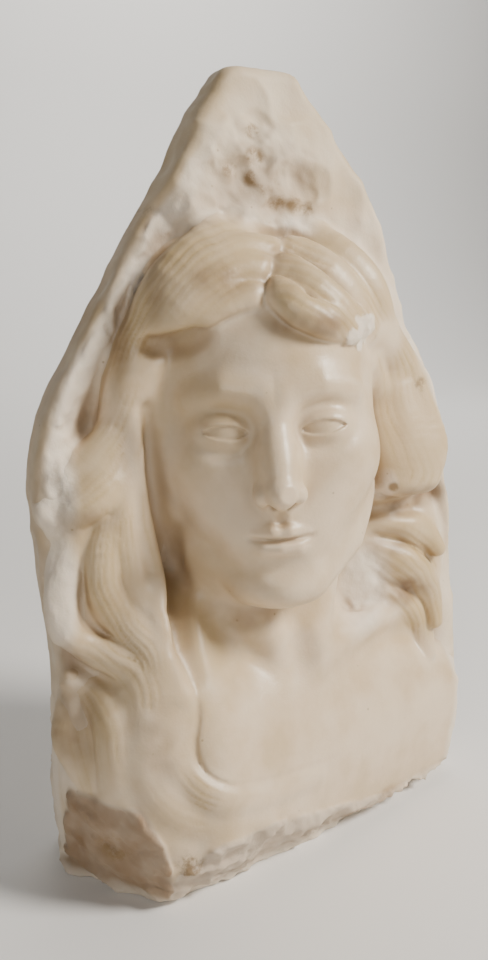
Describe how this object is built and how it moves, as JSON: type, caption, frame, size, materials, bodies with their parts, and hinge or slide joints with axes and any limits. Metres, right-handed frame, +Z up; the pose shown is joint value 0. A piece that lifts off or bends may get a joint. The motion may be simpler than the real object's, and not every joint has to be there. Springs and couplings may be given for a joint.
{
  "type": "marble bust",
  "caption": "Free-standing marble head and shoulders in high relief, with flowing hair, carved from one rough-backed block with a raised rim and a rough peak.",
  "frame": {"origin": "middle of the overall box, on the resting plane", "axes": "+Z up, -Y out of the front of the relief, +X to the right for someone who faces the front"},
  "size_m": [0.1978, 0.0854, 0.3],
  "materials": {
    "polished_marble": "satin, waxy, rubbed smooth",
    "hair_marble": "satin on the wave tops, matt in the grooves",
    "chiselled_marble": "matt, frosted by the point chisel",
    "broken_marble": "matt, crystalline break with brown stains"
  },
  "bodies": {
    "root": {"foot": "broken_marble", "back_slab": "chiselled_marble", "left_rim": "chiselled_marble", "right_strip": "chiselled_marble", "peak": "broken_marble", "head": "polished_marble", "neck": "polished_marble", "chest": "polished_marble", "hair_crown_left": "hair_marble", "hair_crown_right": "hair_marble", "hair_inner_left": "hair_marble", "hair_fall_left": "hair_marble", "hair_sweep_front": "hair_marble", "hair_puff_right": "hair_marble", "hair_lock_right": "hair_marble"}
  },
  "joints": []
}
